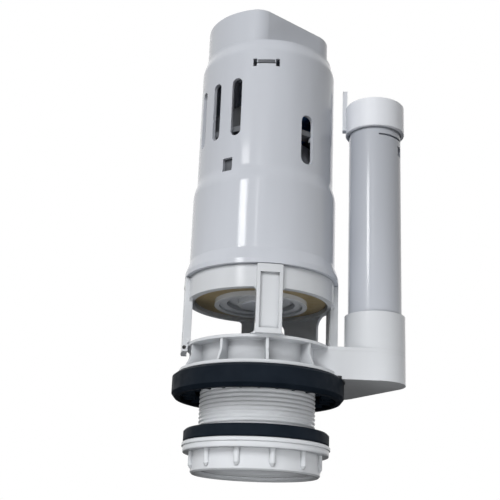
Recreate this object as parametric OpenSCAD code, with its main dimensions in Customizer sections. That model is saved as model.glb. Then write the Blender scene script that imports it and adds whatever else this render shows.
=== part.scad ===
// Toilet flush valve with two push plungers, a raised valve plate and an overflow tube.
// Millimetres, +Z up. The origin is on the tail's axis, at the underside of the flange seal.

/* [Tail and seals] */
// Outside radius of the tail, without its thread
tail_r = 29.2; // [28:0.1:30]
// Radius of the outlet bore
tail_bore_r = 25.6; // [22:0.1:26]
// Length of the tail below the flange seal
tail_drop = 35.5; // [30:0.5:60]
// Outside radius of the flange seal
seal_r = 44.1; // [43.5:0.1:50]
// Height of the flange seal
seal_h = 11.8; // [9:0.1:14]
// Number of ribs under the flange seal
seal_rib_count = 24; // [12:1:36]

/* [Back nut] */
// Gap from the tail to the bores of the nut and the washer, where the thread runs
nut_gap = 0.7; // [0.6:0.05:0.9]
// Outside radius of the nut's flange
nut_flange_r = 37.5; // [36:0.1:44]
// Outside radius of the nut's wall
nut_wall_r = 32.6; // [32:0.1:36]
// Height of the nut's flange
nut_flange_h = 4.8; // [3:0.1:7]
// Height of the nut's wall below the flange
nut_wall_h = 10.4; // [6:0.1:14]
// Height of the nut washer
washer_h = 6.1; // [3:0.1:8]
// Distance from the flange seal down to the washer at rest
clamp_gap = 16.1; // [12:0.1:18]
// Number of ribs on the nut
nut_rib_count = 12; // [6:1:16]

/* [Base] */
// Thickness of the base flange
flange_h = 1.9; // [1.5:0.1:3]
// Height of the base from the flange seal to its top
base_h = 14.9; // [13.5:0.1:22]
// Outside radius of the throat
throat_r = 31.5; // [31:0.1:33]
// Thickness of the top ring
top_ring_h = 1.5; // [1:0.1:3]
// Number of ribs round the throat
rib_count = 10; // [6:1:14]
// Thickness of a rib
rib_w = 1.4; // [1:0.1:3]
// Height of the seat lip above the base
seat_h = 1.3; // [0.8:0.1:2]

/* [Cage] */
// Clear height of the windows between base and skirt ring
window_h = 23.5; // [20:0.1:40]
// Height of the skirt ring
skirt_h = 11.6; // [9:0.1:16]
// Outside radius of the pillars and the casing's collar
pillar_r = 40.6; // [40:0.1:42]
// Width of a pillar
pillar_w = 12.9; // [10:0.1:15]
// Thickness of a pillar from front to back
pillar_t = 4; // [3.2:0.1:4.6]
// Width of the rim round a pillar's recess
pillar_rim = 1.7; // [1.2:0.1:3]
// Wall of the spigot that the casing's collar turns on
spigot_wall = 1.2; // [1:0.1:1.4]
// Turn of the front pillar about the axis
cage_yaw = -84.8; // [-95:0.1:-75]
// Angle that the rear web covers
web_angle = 33; // [20:1:40]

/* [Casing] */
// Height of the casing's wide part above the collar's foot
lower_h = 45; // [40:0.1:60]
// Height of the narrow part, from the wide part to the shoulder
upper_h = 73.4; // [70:0.1:90]
// Height of the head above the shoulder
head_h = 26.9; // [25:0.1:36]
// Step in from the collar to the wide part
collar_step = 2.1; // [1.6:0.1:2.3]
// Step in from the wide part to the narrow part
cone_step = 1.7; // [1.1:0.1:1.9]
// Step in from the narrow part to the head
head_step = 2.3; // [1.8:0.1:2.5]
// Wall of the casing
wall = 2; // [1.6:0.1:2.1]
// Distance from the axis to the head's flat
flat_d = 23; // [22.5:0.1:26]
// Direction that the head's flat faces
head_yaw = -49; // [-60:1:-40]
// Corner radius on the right of the flat
flat_round_right = 18; // [10:0.5:19]
// Corner radius on the left of the flat
flat_round_left = 10; // [6:0.5:11]
// Width of the slots on the left
slot_w = 5.7; // [4:0.1:6.5]
// Length of the slots on the left
slot_long = 32.8; // [25:0.1:40]
// Length of the slot on the right
slot_short = 27.5; // [20:0.1:32]
// Width of the slot on the right
short_slot_w = 7.4; // [5:0.1:8]

/* [Overflow] */
// Distance from the valve's axis to the overflow's axis
overflow_x = 60; // [58:0.5:66]
// Outside radius of the overflow tube
tube_r = 14.1; // [12:0.1:15]
// Wall of the overflow tube
tube_wall = 1.6; // [1.2:0.1:2.5]
// Length of the overflow tube
tube_h = 136; // [120:1:170]
// Wall of the tube's socket
socket_wall = 1.8; // [1.4:0.1:2.5]
// Height of the socket above the arm
socket_h = 19.5; // [14:0.5:30]
// Height of the riser sleeve
riser_h = 17; // [14:0.5:30]
// Wall of the riser sleeve
riser_wall = 1.7; // [1.2:0.1:2.5]
// Wall of the arm
arm_wall = 2; // [1.6:0.1:2.4]

/* [Mechanism] */
// Lift of the valve plate in a full flush
full_lift = 23.8; // [18:0.1:24]
// Gap round the sealing ring inside the cage
valve_gap = 0.5; // [0.4:0.1:2]
// Thickness of the sealing ring
valve_t = 3; // [2:0.1:4]
// Radius of the stem
stem_r = 2.8; // [2.2:0.1:3]
// Outside radius of the full-flush float
float_r = 27; // [24:0.1:27.5]
// Height of the full-flush float
float_h = 46; // [40:0.5:48]
// Outside radius of the half-flush float
half_float_r = 21; // [16:0.1:23]
// Height of the half-flush float
half_float_h = 18; // [12:0.5:18]
// Radius of the rocker pins
pin_r = 1.75; // [1.5:0.05:2]
// Diameter of the plunger rods
rod_d = 3.2; // [2.8:0.1:3.6]
// Gap between pieces that slide past each other
slide_gap = 0.3; // [0.25:0.05:0.4]
// Gap of a rocker's hub on its pin
pin_gap = 0.05; // [0.02:0.01:0.08]

/* [Hidden] */
$fn = 96;
eps = 0.01;
// A corner circle stands this far past the two faces it blends, so that it crosses them
blend = 0.06;
far = 200;

base_z = seal_h;
base_top = base_z + base_h;
skirt_z = base_top + window_h;
collar_z = skirt_z + skirt_h;
// The base, the skirt ring and the pillars keep these distances
flange_r = pillar_r + 0.4;
top_ring_r = pillar_r - 2.8;
ring_r = pillar_r - 2.1;
pillar_in = pillar_r - pillar_t;
foot_drop = 4.3;
gusset_h = 6;

nut_bore = tail_r + nut_gap;
washer_top = -clamp_gap;
washer_z = washer_top - washer_h;
nut_top = washer_z - slide_gap;
nut_flange_z = nut_top - nut_flange_h;
nut_z = nut_flange_z - nut_wall_h;

// Casing levels
casing_z = collar_z + 0.2;
collar_lip = 2.6;
collar_h = 8.8;
cone_h = 9.5;
cone_z = casing_z + lower_h;
upper_z = cone_z + cone_h;
shoulder_z = cone_z + upper_h;
ledge_h = 8;
shoulder_lip = 0.4;
head_z = shoulder_z + ledge_h;
casing_top = shoulder_z + head_h;
lower_r = pillar_r - collar_step;
upper_r = lower_r - cone_step;
head_r = upper_r - head_step;
lower_in = lower_r - wall;
upper_in = upper_r - wall;
head_in = head_r - wall;
flat_in = flat_d - wall;

// Bayonet between the cage's spigot and the casing's collar
spigot_r = lower_in - slide_gap;
ring_in = spigot_r - spigot_wall;
spigot_h = 8.3;
lug_r = spigot_r + 1.5;
lug_z = collar_z + 3.3;
lug_h = 2.5;
lug_half = 6;
twist = 20;

// Overflow levels
arm_top = base_top;
arm_z = base_z - 1.6;
socket_r = tube_r + socket_wall;
socket_top = arm_top + socket_h;
gasket_h = 1.5;
tube_z = arm_top + gasket_h;
tube_top = tube_z + tube_h;
tube_in = tube_r - tube_wall;
riser_in = tube_r + slide_gap;
riser_r = riser_in + riser_wall;
riser_z = tube_top - 14.5;
rear_x = overflow_x - 20;
rear_y = 34;
rear_r = 15;
arm_root_x = 18;

// Valve plate levels in the raised place that the photo shows
seal_z = base_top + seat_h + full_lift + slide_gap;
plate_z = seal_z + valve_t;
plate_h = 3;
valve_r = ring_in - valve_gap;
plate_r = valve_r - 1;
hole_r = 20;
retainer_r = 24.3;
retainer_drop = 2.5;
boss_r = 10;

// Mechanism levels
mech_rise = 33.5;
mech_z = upper_z + mech_rise;
pivot_x = upper_in - 12.8;
arm_in = pivot_x + 2;
half_pivot_z = mech_z - 2;
full_angle = asin(full_lift / 2 / arm_in);
half_lift = 12;
half_angle = asin(half_lift / 2 / arm_in);
tine_t = 3;
bar_r = 2;
bar_z = mech_z + full_lift / 2 + 3.9;
eye_r = 4.3;
eye_h = 4.6;
head_bar_z = bar_z + eye_h / 2 + slide_gap + bar_r;
post_y = 10;
post_r = 1.8;
carrier_drop = 14;
carrier_z = mech_z - carrier_drop;
float_top = carrier_z - 0.4;
float_z = float_top - float_h;
float_wall = 1.8;
float_roof = 3;
guide_h = 16;
guide_wall = 2.9;
hub_r = 3.5;
full_outer = 9;
half_outer = 10;
full_tine_y = 6;
half_tine_y = 14.75;
cheek_y = 19;
cheek_t = 2.4;
cheek_h = 19;
carrier_h = 3;
rest_h = 2.4;
carrier_in = float_r + 1.5;
half_float_rise = 10;
half_float_z = plate_z + plate_h + half_float_rise;
clip_h = 6;
clip_r = 6.5;
ear_x = 8;
ear_l = 5;
ear_w = 3;
rod_r = rod_d / 2;
pad_t = 3;
pad_gap = 1.5;
full_rod_x = pivot_x + 6.2;
full_rod_z = mech_z - 0.4;
full_travel = 6.8;
full_pad_top = casing_top - 1.2 - full_travel;
half_rod_x = flat_in - 3.5;
half_nub_x = pivot_x + 8;
half_nub_z = half_pivot_z + 4.3;
half_foot_z = half_pivot_z + 9;
half_pad_top = casing_top - 2;
pad_split = 1.5;

slot_z = mech_z - 17;
short_slot_z = slot_z - 13.8;
slit_z = head_z - 16.6;
slit_h = 4.3;
slit_w = 14;
slit_end = 1.9;
tongue_w = 10;
tongue_t = 2.1;
tongue_h = 1.7;
slit_yaw = -93;
window_z = cone_z + 6.4;

PLASTIC = [0.80, 0.82, 0.85];
WARM = [0.84, 0.84, 0.83];
BRIGHT = [0.92, 0.93, 0.95];
BLACK = [0.07, 0.08, 0.10];
TAN = [0.72, 0.65, 0.50];
GREY = [0.55, 0.57, 0.60];
BLUE = [0.25, 0.45, 0.70];

// A tube standing on z
module ring(r_out, r_in, z, h) {
    translate([0, 0, z])
        difference() {
            cylinder(r = r_out, h = h);
            translate([0, 0, -1]) cylinder(r = r_in, h = h + 2);
        }
}

// A wedge about the axis from angle a0 to angle a1, less than half a turn
module wedge(a0, a1, z, h) {
    translate([0, 0, z])
        linear_extrude(h)
            polygon([
                [0, 0],
                far * [cos(a0), sin(a0)],
                far * [cos((a0 + a1) / 2), sin((a0 + a1) / 2)] * 1.4,
                far * [cos(a1), sin(a1)]
            ]);
}

// A radial prism at angle a, of a shape drawn with x across and y up
module radial(a, r0, r1, z) {
    rotate(a)
        translate([r0, 0, z])
            rotate([90, 0, 90])
                linear_extrude(r1 - r0) children();
}

// An upright slot with round ends, its foot at the origin
module slot_shape(w, h) {
    translate([-w / 2, w / 2]) square([w, h - w]);
    translate([0, w / 2]) circle(d = w);
    translate([0, h - w / 2]) circle(d = w);
}

// Points of a smooth step from [r0, z0] to [r1, z1], half a cosine wave
function smooth_step(r0, z0, r1, z1) =
    [for (i = [0 : 8]) [r0 + (r1 - r0) * (1 - cos(180 * i / 8)) / 2, z0 + (z1 - z0) * i / 8]];

// A rod along y, centred
module cross_rod(r, length) {
    rotate([90, 0, 0]) cylinder(r = r, h = length, center = true);
}

module tail() {
    color(WARM)
        difference() {
            translate([0, 0, -tail_drop]) cylinder(r = tail_r, h = tail_drop + base_z);
            translate([0, 0, -tail_drop - 1]) cylinder(r = tail_bore_r, h = tail_drop + base_z + 2);
            translate([0, 0, -tail_drop - eps])
                cylinder(r1 = tail_bore_r + 1, r2 = tail_bore_r, h = 1);
        }
}

module flange_seal() {
    groove_in = tail_r + 4.5;
    groove_out = seal_r - 5;
    groove_h = seal_h / 2;
    color(BLACK) {
        rotate_extrude()
            polygon([
                [tail_r, groove_h],
                [groove_out, groove_h],
                [groove_out + 1, 0],
                [seal_r - 1.6, 0],
                [seal_r, 2],
                [seal_r, seal_h - 1.6],
                [seal_r - 2, seal_h],
                [tail_r, seal_h]
            ]);
        for (i = [0 : seal_rib_count - 1])
            rotate(i * 360 / seal_rib_count)
                translate([groove_in - 0.5, -0.6, 1])
                    cube([groove_out - groove_in + 1, 1.2, groove_h - 0.5]);
    }
}

module nut_washer() {
    color(BLACK)
        rotate_extrude()
            polygon([
                [nut_bore, washer_z],
                [nut_flange_r - 1, washer_z],
                [nut_flange_r - 0.6, washer_z + 0.5],
                [nut_flange_r - 0.6, washer_top - 1],
                [nut_flange_r - 1.6, washer_top],
                [nut_bore, washer_top]
            ]);
}

module back_nut() {
    color(WARM)
        difference() {
            union() {
                rotate_extrude()
                    polygon([
                        [nut_bore - 1, nut_z],
                        [nut_wall_r - 0.8, nut_z],
                        [nut_wall_r, nut_z + 0.8],
                        [nut_wall_r, nut_flange_z],
                        [nut_flange_r - 0.8, nut_flange_z],
                        [nut_flange_r - 0.6, nut_flange_z + 0.6],
                        [nut_flange_r - 0.6, nut_top - 2.1],
                        [nut_flange_r, nut_top - 1.9],
                        [nut_flange_r, nut_top - 0.5],
                        [nut_flange_r - 0.5, nut_top],
                        [nut_bore - 1, nut_top]
                    ]);
                for (i = [0 : nut_rib_count - 1])
                    rotate(-16.5 + i * 360 / nut_rib_count)
                        translate([nut_wall_r + 0.2, 0, nut_z + nut_wall_h * 0.2])
                            rotate_extrude()
                                polygon([
                                    [0, 0],
                                    [0.7, 0],
                                    [1.5, 1.4],
                                    [1.5, nut_wall_h * 0.8 + 0.5],
                                    [0, nut_wall_h * 0.8 + 0.5]
                                ]);
            }
            translate([0, 0, nut_z - 1]) cylinder(r = nut_bore, h = far);
            translate([0, 0, nut_z - eps])
                cylinder(r1 = nut_bore + 1, r2 = nut_bore, h = 1);
        }
}

// A block of the overflow arm's plan, drawn in by g. Its round ends stand a little past the straight sides.
module arm_block(g, z, h) {
    across = [rear_x - overflow_x, rear_y];
    along = across / norm(across);
    side = [along[1], -along[0]];
    near = socket_r - g - blend;
    rear = rear_r - g - blend;
    translate([0, 0, z])
        union() {
            translate([overflow_x, 0, 0]) cylinder(r = socket_r - g, h = h);
            translate([rear_x, rear_y, 0]) cylinder(r = rear_r - g, h = h);
            linear_extrude(h)
                polygon([
                    [overflow_x, -near],
                    [arm_root_x, -near],
                    [arm_root_x, rear_y],
                    [rear_x - rear / 2, rear_y + rear * sin(60)],
                    [rear_x, rear_y] + rear * side,
                    [overflow_x, 0] + near * side
                ]);
        }
}

module overflow_elbow() {
    color(WARM)
        difference() {
            arm_block(0, arm_z, arm_top - arm_wall - arm_z);
            translate([0, 0, arm_z - 1]) cylinder(r = seal_r + 0.4, h = base_z - arm_z + 1);
            translate([0, 0, base_z - 1]) cylinder(r = throat_r, h = base_h + 2);
            arm_block(arm_wall, base_z + arm_wall, base_h);
        }
}

module arm_cover() {
    color(WARM)
        difference() {
            arm_block(0, arm_top - arm_wall, arm_wall);
            translate([0, 0, base_z - 1]) cylinder(r = throat_r, h = base_h + 2);
            translate([overflow_x, 0, base_z]) cylinder(r = tube_in, h = far);
        }
}

module tube_socket() {
    color(WARM)
        translate([overflow_x, 0, 0])
            rotate_extrude()
                polygon([
                    [tube_r, arm_top],
                    [socket_r, arm_top],
                    [socket_r, socket_top],
                    [tube_r + 0.8, socket_top],
                    [tube_r, socket_top - 1]
                ]);
}

// One rib of the throat, its foot spread out to the flange
module throat_rib() {
    rotate([90, 0, 0])
        linear_extrude(rib_w, center = true)
            polygon([
                [throat_r - 1, base_z + 0.5],
                [flange_r - 0.6, base_z + 0.5],
                [flange_r - 0.6, base_z + flange_h - 0.3],
                [top_ring_r - 0.6, base_z + flange_h + gusset_h],
                [top_ring_r - 0.6, base_top - 0.5],
                [throat_r - 1, base_top - 0.5]
            ]);
}

module base_body() {
    color(WARM)
        difference() {
            union() {
                difference() {
                    union() {
                        translate([0, 0, base_z]) cylinder(r = flange_r, h = flange_h);
                        translate([0, 0, base_top - top_ring_h])
                            cylinder(r = top_ring_r, h = top_ring_h);
                        for (i = [0 : rib_count - 1])
                            rotate(cage_yaw + i * 360 / rib_count) throat_rib();
                    }
                    arm_block(0, base_z - 1, base_h + 1);
                }
                translate([0, 0, base_z]) cylinder(r = throat_r, h = base_h);
                rotate_extrude()
                    polygon([
                        [tail_bore_r - 0.5, base_top - 1],
                        [tail_bore_r + 4.4, base_top - 1],
                        [tail_bore_r + 4.4, base_top + 0.3],
                        [tail_bore_r + 3.6, base_top + seat_h],
                        [tail_bore_r + 2.4, base_top + seat_h],
                        [tail_bore_r - 0.5, base_top]
                    ]);
            }
            translate([0, 0, base_z - 1]) cylinder(r = tail_bore_r, h = far);
            translate([tail_bore_r - 6, -9, base_z + arm_wall + 0.2])
                cube([throat_r - tail_bore_r + 8, 18, base_h - 2 * arm_wall - 2.2]);
        }
}

// A corner fillet in the cage wall, beside a face at half width w, on one side
module cage_fillet(w, side, f, top) {
    z0 = top ? skirt_z - f : base_top;
    zc = top ? skirt_z - f : base_top + f;
    mirror([0, side < 0 ? 1 : 0, 0])
        difference() {
            translate([ring_in - 4, w - 0.5, z0]) cube([pillar_r - ring_in + 4, f + 0.5, top ? f + 0.4 : f]);
            translate([ring_in - 5, w + f, zc])
                rotate([0, 90, 0]) cylinder(r = f + blend, h = pillar_r - ring_in + 6);
        }
}

module cage() {
    web_mid = cage_yaw + 135;
    web_half = ring_r * sin(web_angle / 2);
    color(WARM)
        difference() {
            union() {
                rotate_extrude()
                    polygon([
                        [ring_in, skirt_z],
                        [ring_r, skirt_z],
                        [ring_r, collar_z],
                        [spigot_r, collar_z],
                        [spigot_r, collar_z + spigot_h],
                        [ring_in, collar_z + spigot_h]
                    ]);
                for (i = [0 : 3])
                    intersection() {
                        ring(lug_r, ring_in + 0.5, lug_z, lug_h);
                        rotate(cage_yaw + i * 90) wedge(-lug_half, lug_half, lug_z - 1, lug_h + 2);
                    }
                intersection() {
                    rotate_extrude()
                        polygon([
                            [pillar_in, base_top],
                            [pillar_r, base_top],
                            [pillar_r, collar_z - 0.2],
                            [ring_r - 0.7, collar_z - 0.2],
                            [ring_r - 0.7, skirt_z + 0.7],
                            [pillar_in, skirt_z + 0.7]
                        ]);
                    for (i = [0 : 3])
                        rotate(cage_yaw + i * 90)
                            translate([0, -pillar_w / 2, base_top])
                                cube([far, pillar_w, window_h + skirt_h]);
                }
                intersection() {
                    ring(pillar_r, top_ring_r, base_top - foot_drop, foot_drop + 1);
                    rotate(cage_yaw - 90)
                        translate([0, -pillar_w / 2, base_top - far])
                            cube([far, pillar_w, 2 * far]);
                }
                intersection() {
                    ring(ring_r - 0.1, pillar_in + 0.1, base_top, window_h + 1);
                    union() {
                        rotate(web_mid)
                            translate([0, -web_half, base_top])
                                cube([far, 2 * web_half, window_h + 1]);
                        rotate(web_mid)
                            for (s = [-1, 1]) cage_fillet(web_half, s, 6, true);
                        for (i = [0 : 3])
                            rotate(cage_yaw + i * 90)
                                for (s = [-1, 1]) {
                                    cage_fillet(pillar_w / 2, s, 2.2, true);
                                    cage_fillet(pillar_w / 2, s, 3, false);
                                }
                    }
                }
            }
            for (i = [0 : 3])
                rotate(cage_yaw + i * 90)
                    translate([pillar_r - 1.8, -pillar_w / 2 + pillar_rim, base_top + 2.5])
                        cube([5, pillar_w - 2 * pillar_rim, window_h + skirt_h - 6.9]);
            rotate(cage_yaw - 90)
                translate([pillar_r - 1.5, 0, base_top - foot_drop / 2]) cross_rod(1, far);
        }
}

// Material to take from one corner of the D shape, with s the side
module d_corner(r, d, rc, s) {
    cx = d - rc;
    cy = sqrt((r - rc) * (r - rc) - cx * cx);
    away = [cx, cy] / norm([cx, cy]);
    mirror([0, s < 0 ? 1 : 0])
        difference() {
            polygon([
                [cx, cy],
                [d + 1, cy],
                [d + 1, cy + 2 * rc],
                (r + 2) * away
            ]);
            translate([cx, cy]) circle(r = rc + blend);
        }
}

// Plan of the head, drawn in by g: a circle with one flat, its corners rounded
module d_plan(g) {
    difference() {
        intersection() {
            circle(r = head_r - g);
            translate([-far, -far]) square([far + flat_d - g, 2 * far]);
        }
        d_corner(head_r - g, flat_d - g, flat_round_right - g, 1);
        d_corner(head_r - g, flat_d - g, flat_round_left - g, -1);
    }
}

module casing() {
    color(PLASTIC)
        difference() {
            union() {
                rotate_extrude()
                    polygon(concat(
                        [
                            [0, casing_z],
                            [pillar_r, casing_z],
                            [pillar_r, casing_z + collar_lip],
                            [lower_r, casing_z + collar_h]
                        ],
                        smooth_step(lower_r, cone_z, upper_r, upper_z),
                        smooth_step(upper_r, shoulder_z, head_r + shoulder_lip, head_z),
                        [[0, head_z]]
                    ));
                rotate(head_yaw)
                    translate([0, 0, head_z - 1])
                        linear_extrude(casing_top - head_z + 1)
                            d_plan(0);
            }
            difference() {
                rotate_extrude()
                    polygon([
                        [0, casing_z - 1],
                        [lower_in, casing_z - 1],
                        [lower_in, cone_z - 0.5],
                        [upper_in, upper_z - 0.5],
                        [upper_in, shoulder_z - 2],
                        [head_in + shoulder_lip, head_z - wall],
                        [0, head_z - wall]
                    ]);
                ring(upper_r, upper_in - 1.7, carrier_z - rest_h, rest_h);
            }
            rotate(head_yaw)
                translate([0, 0, head_z - wall - 1])
                    linear_extrude(far)
                        d_plan(wall);
            for (i = [0 : 3]) {
                intersection() {
                    ring(lug_r + slide_gap, 1, lug_z - slide_gap, lug_h + 2 * slide_gap);
                    rotate(cage_yaw + i * 90)
                        wedge(-lug_half - twist - 1, lug_half + 1, lug_z - 1, lug_h + 2);
                }
                intersection() {
                    ring(lug_r + slide_gap, 1, casing_z - 1, lug_z - casing_z + 2);
                    rotate(cage_yaw + i * 90 - twist)
                        wedge(-lug_half - 1, lug_half + 1, casing_z - 1, lug_h + 8);
                }
            }
            for (i = [0 : 2])
                radial(-117.4 - i * 20.8, upper_in - 4, upper_r + 3, slot_z) slot_shape(slot_w, slot_long);
            radial(-55.5, upper_in - 4, upper_r + 3, short_slot_z) slot_shape(short_slot_w, slot_short);
            radial(-123.5, upper_in - 4, lower_r + 3, window_z) translate([-2.85, 0]) square([5.7, 7.4]);
            radial(slit_yaw, upper_in - 4, upper_r + 3, slit_z) {
                for (s = [-1, 1])
                    translate([s * (slit_w - slit_end) / 2 - slit_end / 2, 0]) square([slit_end, slit_h]);
                translate([1 - slit_w / 2, 1.5]) square([slit_w - 2, 2.2]);
            }
        }
}

module overflow_tube() {
    cut_z = tube_top - 19.4;
    color(PLASTIC)
        translate([overflow_x, 0, 0])
            difference() {
                ring(tube_r, tube_in, tube_z, tube_h);
                intersection() {
                    ring(tube_r + 1, tube_in - 1, cut_z, 1.2);
                    wedge(-88, -18, cut_z - 1, 4);
                }
                radial(-26, tube_in - 2, tube_r + 2, cut_z - 9.2) translate([-2.4, 0]) square([4.8, 5.6]);
            }
}

module overflow_riser() {
    color(BRIGHT)
        translate([overflow_x, 0, 0]) {
            rotate_extrude()
                polygon([
                    [riser_in, riser_z],
                    [riser_r - 0.3, riser_z],
                    [riser_r, riser_z + 0.4],
                    [riser_r, riser_z + riser_h - 0.8],
                    [riser_r - 0.6, riser_z + riser_h],
                    [riser_in, riser_z + riser_h]
                ]);
            rotate(174.6)
                translate([riser_r - 0.8, -2, riser_z + 3])
                    cube([2.6, 4, riser_h + 7]);
        }
}

module tube_seal() {
    color(BLACK) translate([overflow_x, 0, 0]) ring(tube_r, tube_in, arm_top, gasket_h);
}

module carrier() {
    cheek_half = sqrt(pow(upper_in - 0.3, 2) - pow(cheek_y + cheek_t, 2)) - 0.3;
    color(GREY) {
        difference() {
            union() {
                ring(upper_in, carrier_in, carrier_z, carrier_h);
                rotate(head_yaw)
                    for (s = [-1, 1])
                        translate([-cheek_half, s * (cheek_y + cheek_t / 2) - cheek_t / 2, carrier_z])
                            cube([2 * cheek_half, cheek_t, carrier_h + cheek_h]);
                rotate(slit_yaw) {
                    translate([upper_in - 2 * slide_gap - tongue_t, -tongue_w / 2, carrier_z])
                        cube([tongue_t, tongue_w, slit_z - carrier_z + slit_h + 1.5]);
                    intersection() {
                        translate([upper_in - 1, -tongue_w / 2, slit_z + 1.9])
                            cube([wall + 3, tongue_w, tongue_h]);
                        cylinder(r = upper_r, h = far);
                    }
                }
            }
            rotate(head_yaw) {
                translate([-pivot_x, 0, mech_z]) cross_rod(pin_r, far);
                translate([pivot_x, 0, half_pivot_z]) cross_rod(pin_r, far);
            }
        }
    }
}

module full_rocker_pin() {
    color(GREY)
        rotate(head_yaw) translate([-pivot_x, 0, mech_z]) cross_rod(pin_r, 2 * (cheek_y + cheek_t));
}

module half_rocker_pin() {
    color(GREY)
        rotate(head_yaw) translate([pivot_x, 0, half_pivot_z]) cross_rod(pin_r, 2 * (cheek_y + cheek_t));
}

// A rocker at its pivot: hub, one outer arm towards -x and two tines towards +x
module rocker(outer, tine_y, tine_w) {
    difference() {
        union() {
            cross_rod(hub_r, 2 * (cheek_y - 0.5));
            translate([-outer, -4, -tine_t / 2]) cube([outer, 8, tine_t]);
            translate([-outer, 0, 0]) cross_rod(tine_t / 2, 8);
            for (s = [-1, 1])
                translate([0, s * tine_y, 0]) {
                    translate([0, -tine_w / 2, -tine_t / 2]) cube([arm_in, tine_w, tine_t]);
                    translate([arm_in, 0, 0]) cross_rod(tine_t / 2, tine_w);
                }
        }
        cross_rod(pin_r + pin_gap, far);
    }
}

module full_rocker() {
    color(BLUE)
        rotate(head_yaw)
            translate([-pivot_x, 0, mech_z])
                rotate([0, -full_angle, 0]) rocker(full_outer, full_tine_y, tine_t - 0.2);
}

module half_rocker() {
    color(BLUE)
        rotate(head_yaw)
            translate([pivot_x, 0, half_pivot_z])
                mirror([1, 0, 0])
                    rotate([0, half_angle, 0]) rocker(half_outer, half_tine_y, tine_t - 0.1);
}

module full_plunger() {
    color(BRIGHT)
        rotate(head_yaw) {
            translate([0, 0, full_pad_top - pad_t])
                linear_extrude(pad_t)
                    intersection() {
                        d_plan(wall + pad_gap);
                        translate([-far, -far]) square([far + pad_split - 0.5, 2 * far]);
                    }
            translate([-full_rod_x, 0, full_rod_z])
                cylinder(r = rod_r, h = full_pad_top - full_rod_z - 1);
            translate([-full_rod_x, -0.8, full_pad_top - pad_t - 7])
                cube([14, 1.6, 8]);
        }
}

module half_plunger() {
    color(BRIGHT)
        rotate(head_yaw) {
            translate([0, 0, half_pad_top - pad_t])
                linear_extrude(pad_t)
                    intersection() {
                        d_plan(wall + pad_gap);
                        translate([pad_split + 0.5, -far]) square([far, 2 * far]);
                    }
            translate([half_rod_x, 0, half_foot_z + 1])
                cylinder(r = rod_r, h = half_pad_top - half_foot_z - 2);
            translate([half_rod_x - rod_r, -2.5, half_foot_z])
                cube([half_nub_x - half_rod_x + 2 * rod_r, 5, tine_t]);
            translate([half_nub_x, 0, half_nub_z])
                cylinder(r = rod_r, h = half_foot_z - half_nub_z + 1);
        }
}

module full_float() {
    sleeve_r = stem_r + slide_gap;
    color(PLASTIC)
        rotate(head_yaw) {
            rotate_extrude()
                polygon([
                    [sleeve_r, float_top - guide_h],
                    [sleeve_r + guide_wall, float_top - guide_h],
                    [sleeve_r + guide_wall, float_top - float_roof],
                    [float_r - float_wall, float_top - float_roof],
                    [float_r - float_wall, float_z],
                    [float_r, float_z],
                    [float_r, float_top - 1],
                    [float_r - 1, float_top],
                    [sleeve_r, float_top]
                ]);
            for (s = [-1, 1])
                translate([0, s * post_y, float_top - 1])
                    cylinder(r = post_r, h = bar_z - float_top + 1);
            difference() {
                union() {
                    translate([0, 0, bar_z]) cross_rod(bar_r, 2 * (post_y + post_r + 0.6));
                    translate([0, 0, bar_z - eye_h / 2]) cylinder(r = eye_r, h = eye_h);
                }
                translate([0, 0, bar_z - eye_h]) cylinder(r = sleeve_r, h = 2 * eye_h);
            }
        }
}

module valve_stem() {
    color(PLASTIC)
        rotate(head_yaw) {
            translate([0, 0, plate_z]) cylinder(r = stem_r, h = head_bar_z - plate_z);
            translate([0, 0, head_bar_z]) cross_rod(bar_r, 2 * (cheek_y - 2));
            rotate_extrude()
                polygon([
                    [0, plate_z],
                    [plate_r, plate_z],
                    [plate_r, plate_z + 1.6],
                    [plate_r - 3, plate_z + plate_h],
                    [6, plate_z + plate_h],
                    [stem_r, plate_z + plate_h + 2],
                    [0, plate_z + plate_h + 2]
                ]);
            translate([0, 0, seal_z - retainer_drop + 0.4])
                cylinder(r = boss_r, h = plate_z - seal_z + retainer_drop);
        }
}

module valve_seal() {
    color(TAN) ring(valve_r, hole_r, seal_z, valve_t);
}

module seal_retainer() {
    rim_z = seal_z - retainer_drop;
    color(WARM)
        rotate_extrude()
            polygon([
                [boss_r, rim_z + 0.8],
                [boss_r + 2, rim_z + 0.8],
                [boss_r + 2, plate_z - 1.8],
                [hole_r - 2.2, plate_z - 1.8],
                [hole_r - 2.2, rim_z + 1.3],
                [retainer_r - 2.5, rim_z + 1.3],
                [retainer_r - 2.5, rim_z],
                [retainer_r, rim_z],
                [retainer_r, seal_z],
                [hole_r, seal_z],
                [hole_r, plate_z],
                [boss_r, plate_z]
            ]);
}

module half_float() {
    color(PLASTIC)
        difference() {
            ring(half_float_r, stem_r + slide_gap, half_float_z, half_float_h);
            ring(half_float_r - 2, 7, half_float_z - 1, half_float_h - 2);
        }
}

module half_float_clip() {
    clip_z = half_float_z + half_float_h;
    color(BLUE) {
        ring(clip_r, stem_r + slide_gap, clip_z, clip_h);
        for (s = [-1, 1])
            translate([s * ear_x - ear_l / 2, -ear_w / 2, clip_z]) cube([ear_l, ear_w, clip_h - 1]);
    }
}

tail();
base_body();
cage();
overflow_elbow();
arm_cover();
tube_socket();
flange_seal();
nut_washer();
back_nut();
casing();
overflow_tube();
overflow_riser();
tube_seal();
carrier();
full_rocker_pin();
half_rocker_pin();
full_rocker();
half_rocker();
full_plunger();
half_plunger();
full_float();
valve_stem();
valve_seal();
seal_retainer();
half_float();
half_float_clip();
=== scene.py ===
"""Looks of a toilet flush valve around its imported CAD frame.

The file is laid out as an add-on and is run as a script.
Lengths are metres in the frame of the CAD part.
"""

import math

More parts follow.
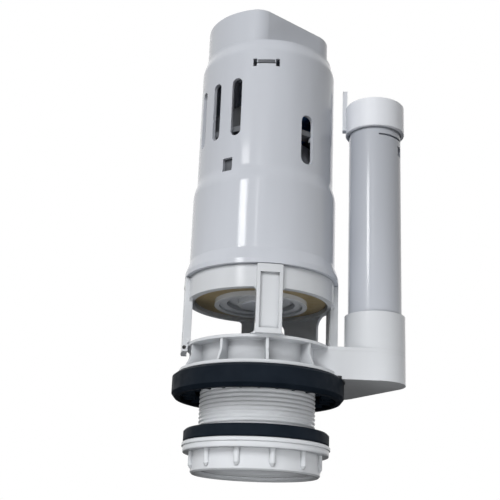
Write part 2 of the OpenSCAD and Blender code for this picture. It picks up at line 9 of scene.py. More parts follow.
import bpy
import numpy as np
from bpy.props import FloatProperty, FloatVectorProperty, IntProperty, PointerProperty
from mathutils import Matrix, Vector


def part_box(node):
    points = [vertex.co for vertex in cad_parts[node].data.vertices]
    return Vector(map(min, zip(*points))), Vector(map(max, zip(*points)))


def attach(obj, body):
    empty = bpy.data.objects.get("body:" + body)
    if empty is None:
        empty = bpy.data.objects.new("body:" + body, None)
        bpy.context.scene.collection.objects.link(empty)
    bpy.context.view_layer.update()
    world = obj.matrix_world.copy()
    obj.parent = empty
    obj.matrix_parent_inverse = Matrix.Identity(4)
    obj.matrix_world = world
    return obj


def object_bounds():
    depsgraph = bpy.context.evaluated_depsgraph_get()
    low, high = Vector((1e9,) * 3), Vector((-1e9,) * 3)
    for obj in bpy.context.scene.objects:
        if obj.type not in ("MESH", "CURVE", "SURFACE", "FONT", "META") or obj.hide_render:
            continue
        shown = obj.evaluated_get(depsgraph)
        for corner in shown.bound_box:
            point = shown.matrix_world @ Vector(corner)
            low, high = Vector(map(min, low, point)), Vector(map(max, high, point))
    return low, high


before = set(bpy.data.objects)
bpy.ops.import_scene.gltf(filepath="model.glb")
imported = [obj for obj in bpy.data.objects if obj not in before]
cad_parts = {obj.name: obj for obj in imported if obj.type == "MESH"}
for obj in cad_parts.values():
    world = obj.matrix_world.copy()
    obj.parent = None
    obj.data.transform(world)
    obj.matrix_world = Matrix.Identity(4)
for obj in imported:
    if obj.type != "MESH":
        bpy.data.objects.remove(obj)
cad_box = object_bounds()

bl_info = {
    "name": "Flush valve looks",
    "version": (1, 0, 0),
    "blender": (4, 5, 0),
    "location": "View3D > Sidebar > Flush valve",
    "description": "Finishes, threads, moulding detail and studio for a toilet flush valve",
    "category": "Object",
}

MM = 0.001
FULL_TURN = 2 * math.pi
# Edges of the added pieces that are sharper than this stay sharp in the shading
SHARP_ANGLE = math.radians(40)
# The base is this many times as rough as the casing
BASE_DULLNESS = 1.3
# Roughness of the pieces inside the casing
INNER_ROUGHNESS = 0.35
# Painted shade keeps this share of a moulding's colour in its corners, and more of it between the ridges of
# a thread
CORNER_SHADE_SHARE = 0.45
RIDGE_SHADE_SHARE = 0.9


def srgb(red, green, blue):
    """A colour written as 0 to 255 screen values, turned into the linear values that shaders take."""
    screen = np.array([red, green, blue]) / 255
    linear = np.where(screen <= 0.04045, screen / 12.92, ((screen + 0.055) / 1.055) ** 2.4)
    return tuple(float(v) for v in linear)


def node_top(node):
    """The height of a CAD node's top."""
    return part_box(node)[1].z


def node_foot(node):
    """The height of a CAD node's foot."""
    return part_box(node)[0].z


def node_radius(node):
    """Half the width of a round CAD node along Y."""
    low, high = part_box(node)
    return (high.y - low.y) / 2


class ValveFinish(bpy.types.PropertyGroup):
    """Colours and gloss of the moulded pieces."""

    casing: FloatVectorProperty(
        name="Casing",
        description="Colour of the casing, the floats and the stem",
        subtype="COLOR",
        size=3,
        min=0,
        max=1,
        default=srgb(203, 207, 215),
    )
    # The tube's colour is the casing's colour made darker: painted shade for the weaker light on the tube
    tube: FloatVectorProperty(
        name="Overflow tube",
        description="Colour of the overflow tube",
        subtype="COLOR",
        size=3,
        min=0,
        max=1,
        default=srgb(187, 191, 199),
    )
    base: FloatVectorProperty(
        name="Base",
        description="Colour of the tail, the base, the cage and the nut",
        subtype="COLOR",
        size=3,
        min=0,
        max=1,
        default=srgb(210, 213, 217),
    )
    bright: FloatVectorProperty(
        name="Bright pieces",
        description="Colour of the riser sleeve and the plungers",
        subtype="COLOR",
        size=3,
        min=0,
        max=1,
        default=srgb(240, 243, 249),
    )
    rubber: FloatVectorProperty(
        name="Rubber",
        description="Colour of the black seals",
        subtype="COLOR",
        size=3,
        min=0,
        max=1,
        default=srgb(14, 21, 29),
    )
    silicone: FloatVectorProperty(
        name="Sealing ring",
        description="Colour of the tan sealing ring",
        subtype="COLOR",
        size=3,
        min=0,
        max=1,
        default=srgb(158, 142, 108),
    )
    carrier: FloatVectorProperty(
        name="Carrier",
        description="Colour of the carrier and the rocker pins",
        subtype="COLOR",
        size=3,
        min=0,
        max=1,
        default=srgb(92, 95, 100),
    )
    rockers: FloatVectorProperty(
        name="Rockers",
        description="Colour of the rockers and the float clip",
        subtype="COLOR",
        size=3,
        min=0,
        max=1,
        default=srgb(62, 108, 168),
    )
    gloss_roughness: FloatProperty(
        name="Gloss roughness",
        description="Roughness of the glossy mouldings",
        min=0.02,
        max=1,
        default=0.12,
        subtype="FACTOR",
    )
    edge_round: FloatProperty(
        name="Edge round",
        description="Radius that a moulded edge shows in the light",
        min=0,
        max=0.002,
        default=0.4 * MM,
        unit="LENGTH",
    )


class ValveThread(bpy.types.PropertyGroup):
    """Sizes of the outlet thread."""

    pitch: FloatProperty(
        name="Pitch",
        description="Rise of the thread in one turn",
        min=0.001,
        max=0.005,
        default=2.1 * MM,
        unit="LENGTH",
    )
    depth: FloatProperty(
        name="Depth",
        description="Height of the thread above the tail",
        min=0.0001,
        max=0.001,
        default=0.45 * MM,
        unit="LENGTH",
    )
    nut_depth: FloatProperty(
        name="Depth in the nut",
        description="Height of the nut's thread above its bore",
        min=0.0001,
        max=0.001,
        default=0.2 * MM,
        unit="LENGTH",
    )
    bore_gap: FloatProperty(
        name="Bore gap",
        description="Gap from the tail to the bore of the nut",
        min=0.0002,
        max=0.002,
        default=0.7 * MM,
        unit="LENGTH",
    )
    end_gap: FloatProperty(
        name="End gap",
        description="Plain length at the foot of the tail and at the top of the nut",
        min=0,
        max=0.01,
        default=1.5 * MM,
        unit="LENGTH",
    )
    top: FloatProperty(
        name="Top",
        description="Height of the top end of the thread on the tail",
        min=-0.02,
        max=0.02,
        default=4.5 * MM,
        unit="LENGTH",
    )
    steps: IntProperty(
        name="Steps",
        description="Number of steps in one turn of the thread",
        min=24,
        max=240,
        default=120,
    )


class ValveCatches(bpy.types.PropertyGroup):
    """Places and sizes of the catches that show through the casing."""

    tongue_angle: FloatProperty(
        name="Tongue angle",
        description="Direction of the carrier's tongue about the valve's axis",
        subtype="ANGLE",
        default=math.radians(-93),
    )
    tongue_drop: FloatProperty(
        name="Tongue drop",
        description="Distance from the casing's top down to the foot of the tongue's face",
        default=33.58 * MM,
        unit="LENGTH",
    )
    tongue_size: FloatVectorProperty(
        name="Tongue size",
        description="Thickness, width and height of the tongue's face",
        size=3,
        subtype="XYZ",
        unit="LENGTH",
        default=(0.54 * MM, 10.2 * MM, 1.76 * MM),
    )
    tongue_radius: FloatProperty(
        name="Tongue radius",
        description="Distance from the valve's axis to the outside of the tongue's face",
        default=36.84 * MM,
        unit="LENGTH",
    )
    tongue_corner: FloatProperty(
        name="Tongue corner",
        description="Radius of the edges of the tongue's face",
        default=0.15 * MM,
        unit="LENGTH",
    )
    window_angle: FloatProperty(
        name="Window angle",
        description="Direction of the square window about the valve's axis",
        subtype="ANGLE",
        default=math.radians(-123.5),
    )
    window_drop: FloatProperty(
        name="Window drop",
        description="Distance from the casing's top down to the foot of the catch behind the window",
        default=95.2 * MM,
        unit="LENGTH",
    )
    catch_size: FloatVectorProperty(
        name="Catch size",
        description="Thickness, width and height of the catch behind the window",
        size=3,
        subtype="XYZ",
        unit="LENGTH",
        default=(1.8 * MM, 8.4 * MM, 10 * MM),
    )
    catch_radius: FloatProperty(
        name="Catch radius",
        description="Distance from the valve's axis to the outside of the catch",
        default=34.9 * MM,
        unit="LENGTH",
    )
    catch_corner: FloatProperty(
        name="Catch corner",
        description="Radius of the edges of the catch",
        default=0.4 * MM,
        unit="LENGTH",
    )


class ValveStage(bpy.types.PropertyGroup):
    """Camera and light of the studio."""

    camera_place: FloatVectorProperty(
        name="Camera",
        description="Place of the camera",
        size=3,
        subtype="TRANSLATION",
        unit="LENGTH",
        default=(-0.0068, -0.5211, -0.0855),
    )
    camera_pitch: FloatProperty(
        name="Camera pitch",
        description="Angle that the camera looks up",
        subtype="ANGLE",
        default=math.radians(17.72),
    )
    camera_roll: FloatProperty(
        name="Camera roll",
        description="Turn of the camera about its own axis",
        subtype="ANGLE",
        default=math.radians(2.26),
    )
    camera_lens: FloatProperty(
        name="Lens",
        description="Focal length of the camera in millimetres",
        min=20,
        max=200,
        default=73.56,
    )
    key_power: FloatProperty(
        name="Key light",
        description="Power of the broad light at the front left, in watts",
        min=0,
        max=100,
        default=9.3,
    )
    strip_power: FloatProperty(
        name="Strip light",
        description="Power of the narrow light that draws the streak on the casing, in watts",
        min=0,
        max=100,
        default=1.7,
    )
    thin_power: FloatProperty(
        name="Thin strip light",
        description="Power of the thin light above the camera that draws a faint line, in watts",
        min=0,
        max=100,
        default=0.14,
    )
    low_power: FloatProperty(
        name="Low lights",
        description="Power of each of the two small lights near the nut, in watts",
        min=0,
        max=100,
        default=0.11,
    )
    back_power: FloatProperty(
        name="Back light",
        description="Power of the light behind the object, in watts",
        min=0,
        max=100,
        default=9.0,
    )
    sky_top: FloatProperty(
        name="Light from above",
        description="Strength of the room's light from straight above",
        min=0,
        max=2,
        default=0.16,
    )
    sky_foot: FloatProperty(
        name="Light from below",
        description="Strength of the room's light from straight below",
        min=0,
        max=2,
        default=0.04,
    )


def grid_quads(rows, columns, wrap_columns):
    """Quads of a grid of points: each joins a point with its upper, upper right and right neighbour.

    The last column is joined to the first where wrap_columns is true.
    """
    column_ends = columns if wrap_columns else columns - 1
    row, column = np.meshgrid(np.arange(rows - 1), np.arange(column_ends), indexing="ij")
    next_column = (column + 1) % columns
    corners = (
        row * columns + column,
        (row + 1) * columns + column,
        (row + 1) * columns + next_column,
        row * columns + next_column,
    )
    return np.stack(corners, axis=-1).reshape(-1, 4)


def tube_piece(name, points, body, material):
    """A closed tube from a grid of points, rows along the path and columns round the section.

    Each end of the path gets a flat cap. The piece rides on the body and takes the given material.
    """
    rows, columns = points.shape[:2]
    faces = grid_quads(rows, columns, wrap_columns=True).tolist()
    faces.append(list(range(columns)))
    faces.append(list(range((rows - 1) * columns, rows * columns))[::-1])
    mesh = bpy.data.meshes.new(name)
    mesh.from_pydata(points.reshape(-1, 3).tolist(), [], faces)
    mesh.validate()
    mesh.shade_smooth()
    mesh.set_sharp_from_angle(angle=SHARP_ANGLE)
    piece = bpy.data.objects.new(name, mesh)
    bpy.context.scene.collection.objects.link(piece)
    mesh.materials.append(material)
    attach(piece, body)


def thread_section(depth, pitch):
    """A thread's section: a rounded ridge of the depth, with its foot sunk into the wall behind it.

    The first number of a point stands out from the wall and the second runs along the axis. A ridge with a
    negative depth points inwards. The section is the same above and below its middle.
    """
    sunk = -math.copysign(0.25 * MM, depth)
    upper_half = np.array(
        [
            (depth, 0.06 * pitch),
            (0.8 * depth, 0.16 * pitch),
            (0.0, 0.44 * pitch),
            (sunk, 0.46 * pitch),
        ]
    )
    lower_half = upper_half[::-1] * (1, -1)
    return np.concatenate((lower_half, upper_half))


def thread_points(radius, section, foot, turns, thread):
    """A section carried along a right-hand helix.

    At angle a the section's centre is at height foot + pitch * a / full turn. Each section point stands
    out from the radius by its first number, times a fade at both ends, and up by its second number.
    """
    run_out = 0.25
    least_fade = 0.05
    count = int(turns * thread.steps) + 1
    turn = np.linspace(0, turns, count)
    angle = turn * FULL_TURN
    fade = np.clip(np.minimum(turn, turns - turn) / run_out, least_fade, 1)
    out = radius + section[None, :, 0] * fade[:, None]
    height = foot + thread.pitch * turn[:, None] + section[None, :, 1]
    return np.stack((out * np.cos(angle)[:, None], out * np.sin(angle)[:, None], height), axis=-1)


def block_points(angle, outside, foot, size, corner):
    """A block bent round the valve's axis, with its edges rounded by the corner radius.

    The size is its thickness, its width along the arc and its height. Seen from above its outline is a
    rectangle with quarter circles at its corners, between the outside radius and the thickness below it.
    The circles shrink by the cosine of a slope that runs from the foot to the top.
    """
    thickness, width, tall = size
    corner_steps = 5
    quadrant = np.repeat(np.arange(4), corner_steps)
    quarter = np.linspace(0, math.pi / 2, corner_steps)
    turn = quadrant * math.pi / 2 + np.tile(quarter, 4)
    half_depth = thickness / 2 - corner
    half_width = width / 2 - corner
    out = np.where((quadrant == 0) | (quadrant == 3), half_depth, -half_depth)
    side = np.where(quadrant < 2, half_width, -half_width)
    slope = np.radians((-75, -45, -15, 15, 45, 75))
    level = np.where(slope < 0, foot + corner, foot + tall - corner)
    circle = corner * np.cos(slope)[:, None]
    radius = outside - thickness / 2 + out[None, :] + circle * np.cos(turn)[None, :]
    bend = angle + (side[None, :] + circle * np.sin(turn)[None, :]) / outside
    height = np.broadcast_to((level + corner * np.sin(slope))[:, None], radius.shape)
    points = np.stack((radius * np.cos(bend), radius * np.sin(bend), height), axis=-1)
    return points[:, ::-1]


def shade(colour, share):
    """A colour made darker or lighter by a share, and no lighter than white."""
    return tuple(min(v * share, 1) for v in colour)


def new_material(name):
    """An empty node material, with its tree, its main shader and its object coordinates."""
    material = bpy.data.materials.new(name)
    material.use_nodes = True
    tree = material.node_tree
    shader = tree.nodes["Principled BSDF"]
    place = tree.nodes.new("ShaderNodeTexCoord").outputs["Object"]
    return material, tree, shader, place


def noise(tree, place, scale, detail, stretch=(1, 1, 1)):
    """Noise on object coordinates, with the coordinates stretched first."""
    mapping = tree.nodes.new("ShaderNodeMapping")
    mapping.inputs["Scale"].default_value = stretch
    tree.links.new(place, mapping.inputs["Vector"])
    texture = tree.nodes.new("ShaderNodeTexNoise")
    texture.inputs["Scale"].default_value = scale
    texture.inputs["Detail"].default_value = detail
    tree.links.new(mapping.outputs["Vector"], texture.inputs["Vector"])
    return texture.outputs["Fac"]


def spread(tree, value, low, high):
    """The middle of a noise's range, where most of its values lie, mapped to low and high."""
    middle_low = 0.3
    middle_high = 0.7
    ramp = tree.nodes.new("ShaderNodeMapRange")
    ramp.inputs["From Min"].default_value = middle_low
    ramp.inputs["From Max"].default_value = middle_high
    ramp.inputs["To Min"].default_value = low
    ramp.inputs["To Max"].default_value = high
    tree.links.new(value, ramp.inputs["Value"])
    return ramp.outputs["Result"]


def tint(tree, factor, dark, light):
    """A colour between two colours."""
    mix = tree.nodes.new("ShaderNodeMix")
    mix.data_type = "RGBA"
    mix.inputs["A"].default_value = (*dark, 1)
    mix.inputs["B"].default_value = (*light, 1)
    tree.links.new(factor, mix.inputs["Factor"])
    return mix.outputs["Result"]


def rounded_grain(tree, shader, height, edge, depth, strength):
    """A fine bump over normals that are rounded at sharp edges."""
    bevel = tree.nodes.new("ShaderNodeBevel")
    bevel.samples = 6
    bevel.inputs["Radius"].default_value = edge
    bump = tree.nodes.new("ShaderNodeBump")
    bump.inputs["Strength"].default_value = strength
    bump.inputs["Distance"].default_value = depth
    tree.links.new(height, bump.inputs["Height"])
    tree.links.new(bevel.outputs["Normal"], bump.inputs["Normal"])
    tree.links.new(bump.outputs["Normal"], shader.inputs["Normal"])


def painted_corner_shade(tree, unshaded, shade_colour, reach):
    """A colour that turns to a darker colour where the piece's own walls are within reach: painted shade in
    corners and recesses.
    """
    most_sheltered = 0.1
    least_sheltered = 0.65
    shelter = tree.nodes.new("ShaderNodeAmbientOcclusion")
    shelter.samples = 8
    shelter.only_local = True
    shelter.inputs["Distance"].default_value = reach
    shade_amount = tree.nodes.new("ShaderNodeMapRange")
    shade_amount.inputs["From Min"].default_value = most_sheltered
    shade_amount.inputs["From Max"].default_value = least_sheltered
    tree.links.new(shelter.outputs["AO"], shade_amount.inputs["Value"])
    mix = tree.nodes.new("ShaderNodeMix")
    mix.data_type = "RGBA"
    mix.inputs["A"].default_value = (*shade_colour, 1)
    tree.links.new(unshaded, mix.inputs["B"])
    tree.links.new(shade_amount.outputs["Result"], mix.inputs["Factor"])
    return mix.outputs["Result"]


def moulded_plastic(name, colour, roughness, edge, corner_shade_share=CORNER_SHADE_SHARE):
    """Moulded plastic: cloudy tint drawn out along Z, painted shade in corners, uneven gloss and a fine
    skin.
    """
    material, tree, shader, place = new_material(name)
    cloud = noise(tree, place, scale=45, detail=3, stretch=(1, 1, 0.2))
    cloudy = spread(tree, cloud, low=0, high=1)
    unshaded = tint(tree, cloudy, dark=shade(colour, 0.95), light=shade(colour, 1.03))
    # Painted shade: the colour darkens where the piece's own walls are near
    shaded_corners = painted_corner_shade(tree, unshaded, shade(colour, corner_shade_share), reach=12 * MM)
    tree.links.new(shaded_corners, shader.inputs["Base Color"])
    sheen = noise(tree, place, scale=160, detail=2)
    gloss = spread(tree, sheen, low=roughness * 0.85, high=roughness * 1.2)
    tree.links.new(gloss, shader.inputs["Roughness"])
    shader.inputs["Specular IOR Level"].default_value = 0.5
    skin = noise(tree, place, scale=1500, detail=2)
    rounded_grain(tree, shader, skin, edge, depth=0.02 * MM, strength=0.25)
    return material


def soft_rubber(name, colour, edge):
    """Black rubber: a grey bloom in patches, a matt skin and a pebbled bump."""
    material, tree, shader, place = new_material(name)
    patches = noise(tree, place, scale=70, detail=4)
    bloom_gain = 1.6
    bloom_grey = 0.004
    bloom = tuple(v * bloom_gain + bloom_grey for v in colour)
    bloomed = tint(tree, spread(tree, patches, low=0, high=0.7), dark=colour, light=bloom)
    tree.links.new(bloomed, shader.inputs["Base Color"])
    matt = noise(tree, place, scale=220, detail=2)
    tree.links.new(spread(tree, matt, low=0.5, high=0.65), shader.inputs["Roughness"])
    shader.inputs["Specular IOR Level"].default_value = 0.1
    pebbles = noise(tree, place, scale=900, detail=3)
    rounded_grain(tree, shader, pebbles, edge, depth=0.05 * MM, strength=0.35)
    return material


def silicone(name, colour, edge):
    """Tan silicone: a mottled tint, a soft sheen and a fine skin."""
    material, tree, shader, place = new_material(name)
    mottle = noise(tree, place, scale=120, detail=4)
    mottled = tint(tree, spread(tree, mottle, low=0, high=1), dark=shade(colour, 0.88), light=colour)
    tree.links.new(mottled, shader.inputs["Base Color"])
    sheen = noise(tree, place, scale=300, detail=2)
    tree.links.new(spread(tree, sheen, low=0.42, high=0.58), shader.inputs["Roughness"])
    shader.inputs["Specular IOR Level"].default_value = 0.3
    skin = noise(tree, place, scale=1100, detail=2)
    rounded_grain(tree, shader, skin, edge, depth=0.03 * MM, strength=0.3)
    return material


def dress(nodes, material):
    """Gives CAD nodes a finish in their own material slots."""
    for name in nodes:
        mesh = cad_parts[name].data
        mesh.materials.clear()
        mesh.materials.append(material)


class FLUSHVALVE_OT_shell(bpy.types.Operator):
    """Finishes the casing, the overflow tube, its riser, the floats, the stem and the plungers"""

    bl_idname = "flush_valve.shell"
    bl_label = "Finish the shell"

    def execute(self, context):
        finish = context.scene.valve_finish
        gloss = finish.gloss_roughness
        edge = finish.edge_round
        shell = moulded_plastic("casing_finish", finish.casing, gloss, edge)
        dress(("casing", "full_float", "half_float", "valve_stem"), shell)
        # The tube's darker colour is painted shade
        tube = moulded_plastic("tube_finish", finish.tube, gloss, edge)
        dress(("overflow_tube",), tube)
        bright = moulded_plastic("bright_finish", finish.bright, gloss, edge)
        dress(("overflow_riser", "full_plunger", "half_plunger"), bright)
        return {"FINISHED"}


class FLUSHVALVE_OT_base(bpy.types.Operator):
    """Finishes the tail, the base, the cage, the arm, the nut and the retainer"""

    bl_idname = "flush_valve.base"
    bl_label = "Finish the base"

    def execute(self, context):
        finish = context.scene.valve_finish
        roughness = finish.gloss_roughness * BASE_DULLNESS
        base = moulded_plastic("base_finish", finish.base, roughness, finish.edge_round)
        dress(("tail", "base_body", "cage", "overflow_elbow", "arm_cover", "tube_socket"), base)
        dress(("back_nut", "seal_retainer"), base)
        return {"FINISHED"}


class FLUSHVALVE_OT_seals(bpy.types.Operator):
    """Finishes the black rubber seals and the tan sealing ring"""

    bl_idname = "flush_valve.seals"
    bl_label = "Finish the seals"

    def execute(self, context):
        finish = context.scene.valve_finish
        rubber = soft_rubber("rubber_finish", finish.rubber, finish.edge_round)
        dress(("flange_seal", "nut_washer", "tube_seal"), rubber)
        tan = silicone("silicone_finish", finish.silicone, finish.edge_round)
        dress(("valve_seal",), tan)
        return {"FINISHED"}


class FLUSHVALVE_OT_mechanism(bpy.types.Operator):
    """Finishes the carrier, the pins, the rockers and the float clip"""

    bl_idname = "flush_valve.mechanism"
    bl_label = "Finish the mechanism"

    def execute(self, context):
        finish = context.scene.valve_finish
        grey = moulded_plastic("grey_finish", finish.carrier, INNER_ROUGHNESS, finish.edge_round)
        dress(("carrier", "full_rocker_pin", "half_rocker_pin"), grey)
        blue = moulded_plastic("blue_finish", finish.rockers, INNER_ROUGHNESS, finish.edge_round)
        dress(("full_rocker", "half_rocker", "half_float_clip"), blue)
        return {"FINISHED"}


class FLUSHVALVE_OT_threads(bpy.types.Operator):
    """Winds the thread on the tail and the thread in the nut"""

    bl_idname = "flush_valve.threads"
    bl_label = "Wind the threads"

    def execute(self, context):
        thread = context.scene.valve_thread
        finish = context.scene.valve_finish
        roughness = finish.gloss_roughness * BASE_DULLNESS
        # The thread's finish has less painted shade between its ridges than the other mouldings
        ridges = moulded_plastic(
            "thread_finish", finish.base, roughness, finish.edge_round, RIDGE_SHADE_SHARE
        )
        tail_radius = node_radius("tail")
        tail_foot = node_foot("tail") + thread.end_gap
        tail_points = thread_points(
            tail_radius,
            thread_section(thread.depth, thread.pitch),
            tail_foot,
            (thread.top - tail_foot) / thread.pitch,
            thread,
        )
        tube_piece("tail_thread", tail_points, "base", ridges)
        # The nut's ridges run midway between those of the tail
        nut_foot = tail_foot - thread.pitch / 2
        nut_top = node_top("back_nut") - thread.end_gap
        nut_points = thread_points(
            tail_radius + thread.bore_gap,
            thread_section(-thread.nut_depth, thread.pitch),
            nut_foot,
            (nut_top - nut_foot) / thread.pitch,
            thread,
        )
        tube_piece("nut_thread", nut_points[:, ::-1], "nut", ridges)
        return {"FINISHED"}


class FLUSHVALVE_OT_catches(bpy.types.Operator):
    """Puts the face on the carrier's tongue and the catch behind the square window"""

    bl_idname = "flush_valve.catches"
    bl_label = "Add the catches"

    def execute(self, context):
        catches = context.scene.valve_catches
        shell = bpy.data.materials["casing_finish"]
        casing_top = node_top("casing")
        face = block_points(
            catches.tongue_angle,
            catches.tongue_radius,
            casing_top - catches.tongue_drop,
            catches.tongue_size,
            catches.tongue_corner,
        )
        tube_piece("tongue_face", face, "upper_unit", shell)
        catch = block_points(
            catches.window_angle,
            catches.catch_radius,
            casing_top - catches.window_drop,
            catches.catch_size,
            catches.catch_corner,
        )
        # The catch takes the dark grey finish as painted shade, so the inside of the window looks dark
        grey = bpy.data.materials["grey_finish"]
        tube_piece("window_catch", catch, "upper_unit", grey)
        return {"FINISHED"}


class FLUSHVALVE_OT_stage(bpy.types.Operator):
    """Sets up the camera, the lights, the pale floor and the white room"""

    bl_idname = "flush_valve.stage"
    bl_label = "Set the stage"

    def execute(self, context):
        stage = context.scene.valve_stage
        add_camera(context, stage)
        add_lamps(stage)
        add_floor(context)
        light_room(context, stage)
        context.scene.view_settings.view_transform = "Standard"
        return {"FINISHED"}


def add_camera(context, stage):
    """The camera at the photograph's angle: it looks along +Y, up by the pitch, turned by the roll."""
    camera = bpy.data.cameras.new("photo_camera")
    camera.lens = stage.camera_lens
    camera.sensor_width = 36
    camera.clip_start = 0.01
    holder = bpy.data.objects.new("photo_camera", camera)
    context.scene.collection.objects.link(holder)
    pitch = Matrix.Rotation(stage.camera_pitch + math.pi / 2, 4, "X")
    roll = Matrix.Rotation(stage.camera_roll, 4, "Z")
    holder.matrix_world = Matrix.Translation(stage.camera_place) @ pitch @ roll
    context.scene.camera = holder


def add_lamps(stage):
    """A key lamp, two strips that show as streaks on the gloss, two low lamps and one at the back."""
    middle = (0, 0, 0.09)
    tail = (0, 0, -0.015)
    add_softbox(
        "key_light", place=(-0.34, -0.96, 0.7), aim=middle, size=(0.8, 0.5), power=stage.key_power
    )
    strip = add_softbox(
        "strip_light", place=(-0.7, -1.04, 0.53), aim=middle, size=(0.24, 0.2), power=stage.strip_power
    )
    thin = add_softbox(
        "thin_light", place=(-0.27, -1.22, 0.53), aim=middle, size=(0.06, 0.2), power=stage.thin_power
    )
    for mirrored in (strip, thin):
        mirrored.visible_glossy = True
    for name, side in (("low_light_left", -1), ("low_light_right", 1)):
        low_place = (side * 0.11, -0.14, -0.066)
        add_softbox(name, place=low_place, aim=tail, size=(0.1, 0.04), power=stage.low_power)
    add_softbox(
        "back_light", place=(0.2, 1.0, 0.8), aim=middle, size=(0.9, 0.6), power=stage.back_power
    )


def add_softbox(name, place, aim, size, power):
    """A rectangular lamp at a place, turned to its aim, that neither the camera nor gloss shows."""
    lamp = bpy.data.lights.new(name, "AREA")
    lamp.shape = "RECTANGLE"
    lamp.size = size[0]
    lamp.size_y = size[1]
    lamp.energy = power
    holder = bpy.data.objects.new(name, lamp)
    holder.visible_glossy = False
    holder.visible_camera = False
    bpy.context.scene.collection.objects.link(holder)
    away = np.array(place) - np.array(aim)
    away /= np.linalg.norm(away)
    right = np.cross((0, 0, 1), away)
    right /= np.linalg.norm(right)
    up = np.cross(away, right)
    holder.matrix_world = Matrix(
        (
            (right[0], up[0], away[0], place[0]),
            (right[1], up[1], away[1], place[1]),
            (right[2], up[2], away[2], place[2]),
            (0, 0, 0, 1),
        )
    )
    return holder


def add_floor(context):
    """A pale floor under the object that fades to white, and that is seen only from above."""
    reach = 4.0
    count = 9
    gap = 0.3 * MM
    low = cad_box[0].z - gap
    side = np.linspace(-reach, reach, count)
    x, y = np.meshgrid(side, side, indexing="ij")
    points = np.stack((x, y, np.full_like(x, low)), axis=-1)
    mesh = bpy.data.meshes.new("studio_floor")
    faces = grid_quads(count, count, wrap_columns=False).tolist()
    mesh.from_pydata(points.reshape(-1, 3).tolist(), [], faces)
    mesh.materials.append(floor_material())
    floor = bpy.data.objects.new("studio_floor", mesh)
    context.scene.collection.objects.link(floor)


def floor_material():
    """Pale matt floor near the object that is white further out.

    It is clear from below, and to all rays that don't come from the camera.
    """
    pale = (0.86, 0.86, 0.86, 1)
    fade_start = 0.15
    fade_end = 0.9
    material, tree, shader, place = new_material("studio_floor")
    shader.inputs["Base Color"].default_value = pale
    shader.inputs["Roughness"].default_value = 0.9
    white = tree.nodes.new("ShaderNodeEmission")
    distance = tree.nodes.new("ShaderNodeVectorMath")
    distance.operation = "LENGTH"
    tree.links.new(place, distance.inputs[0])
    fade = tree.nodes.new("ShaderNodeMapRange")
    fade.inputs["From Min"].default_value = fade_start
    fade.inputs["From Max"].default_value = fade_end
    tree.links.new(distance.outputs["Value"], fade.inputs["Value"])
    seen = tree.nodes.new("ShaderNodeMixShader")
    tree.links.new(fade.outputs["Result"], seen.inputs["Fac"])
    tree.links.new(shader.outputs["BSDF"], seen.inputs[1])
    tree.links.new(white.outputs["Emission"], seen.inputs[2])
    clear = tree.nodes.new("ShaderNodeBsdfTransparent")
    path = tree.nodes.new("ShaderNodeLightPath")
    side = tree.nodes.new("ShaderNodeNewGeometry")
    above = tree.nodes.new("ShaderNodeMath")
    above.operation = "SUBTRACT"
    above.use_clamp = True
    tree.links.new(path.outputs["Is Camera Ray"], above.inputs[0])
    tree.links.new(side.outputs["Backfacing"], above.inputs[1])
    cover = tree.nodes.new("ShaderNodeMixShader")
    tree.links.new(above.outputs["Value"], cover.inputs["Fac"])
    tree.links.new(clear.outputs["BSDF"], cover.inputs[1])
    tree.links.new(seen.outputs["Shader"], cover.inputs[2])
    tree.links.new(cover.outputs["Shader"], tree.nodes["Material Output"].inputs["Surface"])
    return material


def joined_values(tree, operation, first, second):
    """Two values put through one step of arithmetic."""
    step = tree.nodes.new("ShaderNodeMath")
    step.operation = operation
    tree.links.new(first, step.inputs[0])
    tree.links.new(second, step.inputs[1])
    return step.outputs["Value"]


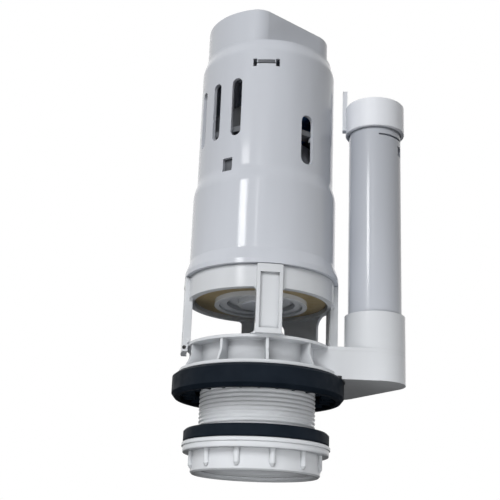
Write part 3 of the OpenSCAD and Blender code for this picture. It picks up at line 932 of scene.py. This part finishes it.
def light_room(context, stage):
    """White room to the camera and in reflections, and soft light that fades away below the horizon.

    The heights are those of a ray's direction, from -1 straight down to 1 straight up.
    """
    soft_height = 0.35
    mirror_foot = -0.1
    mirror_top = 0.2
    world = bpy.data.worlds.new("studio_room")
    context.scene.world = world
    world.use_nodes = True
    tree = world.node_tree
    room = tree.nodes["Background"]
    room.inputs["Color"].default_value = (1, 1, 1, 1)
    direction = tree.nodes.new("ShaderNodeTexCoord")
    parts = tree.nodes.new("ShaderNodeSeparateXYZ")
    tree.links.new(direction.outputs["Generated"], parts.inputs["Vector"])
    height = tree.nodes.new("ShaderNodeMapRange")
    height.interpolation_type = "SMOOTHSTEP"
    height.inputs["From Min"].default_value = -soft_height
    height.inputs["From Max"].default_value = soft_height
    height.inputs["To Min"].default_value = stage.sky_foot
    height.inputs["To Max"].default_value = stage.sky_top
    tree.links.new(parts.outputs["Z"], height.inputs["Value"])
    tree.links.new(height.outputs["Result"], room.inputs["Strength"])
    white = tree.nodes.new("ShaderNodeBackground")
    white.inputs["Color"].default_value = (1, 1, 1, 1)
    path = tree.nodes.new("ShaderNodeLightPath")
    above = tree.nodes.new("ShaderNodeMapRange")
    above.interpolation_type = "SMOOTHSTEP"
    above.inputs["From Min"].default_value = mirror_foot
    above.inputs["From Max"].default_value = mirror_top
    tree.links.new(parts.outputs["Z"], above.inputs["Value"])
    glossy = path.outputs["Is Glossy Ray"]
    glassy = path.outputs["Is Transmission Ray"]
    either = joined_values(tree, "MAXIMUM", glossy, glassy)
    mirrored = joined_values(tree, "MULTIPLY", either, above.outputs["Result"])
    mix = tree.nodes.new("ShaderNodeMixShader")
    seen = joined_values(tree, "MAXIMUM", path.outputs["Is Camera Ray"], mirrored)
    tree.links.new(seen, mix.inputs["Fac"])
    tree.links.new(room.outputs["Background"], mix.inputs[1])
    tree.links.new(white.outputs["Background"], mix.inputs[2])
    tree.links.new(mix.outputs["Shader"], tree.nodes["World Output"].inputs["Surface"])


class FLUSHVALVE_PT_panel(bpy.types.Panel):
    """Lists the steps that dress the flush valve"""

    bl_label = "Flush valve"
    bl_idname = "FLUSHVALVE_PT_panel"
    bl_space_type = "VIEW_3D"
    bl_region_type = "UI"
    bl_category = "Flush valve"

    def draw(self, context):
        for step in STEPS:
            self.layout.operator(step.bl_idname)
        for group in ("valve_finish", "valve_thread", "valve_catches", "valve_stage"):
            settings = getattr(context.scene, group)
            for key in settings.__annotations__:
                self.layout.prop(settings, key)


STEPS = (
    FLUSHVALVE_OT_shell,
    FLUSHVALVE_OT_base,
    FLUSHVALVE_OT_seals,
    FLUSHVALVE_OT_mechanism,
    FLUSHVALVE_OT_threads,
    FLUSHVALVE_OT_catches,
    FLUSHVALVE_OT_stage,
)
GROUPS = (ValveFinish, ValveThread, ValveCatches, ValveStage)


def register():
    """Registers the settings, the operators and the panel."""
    for item in (*GROUPS, *STEPS, FLUSHVALVE_PT_panel):
        bpy.utils.register_class(item)
    bpy.types.Scene.valve_finish = PointerProperty(type=ValveFinish)
    bpy.types.Scene.valve_thread = PointerProperty(type=ValveThread)
    bpy.types.Scene.valve_catches = PointerProperty(type=ValveCatches)
    bpy.types.Scene.valve_stage = PointerProperty(type=ValveStage)


def unregister():
    """Takes the panel, the operators and the settings away again."""
    del bpy.types.Scene.valve_stage
    del bpy.types.Scene.valve_catches
    del bpy.types.Scene.valve_thread
    del bpy.types.Scene.valve_finish
    for item in reversed((*GROUPS, *STEPS, FLUSHVALVE_PT_panel)):
        bpy.utils.unregister_class(item)


def main():
    register()
    bpy.ops.flush_valve.shell()
    bpy.ops.flush_valve.base()
    bpy.ops.flush_valve.seals()
    bpy.ops.flush_valve.mechanism()
    bpy.ops.flush_valve.threads()
    bpy.ops.flush_valve.catches()
    bpy.ops.flush_valve.stage()


if __name__ == "__main__":
    main()
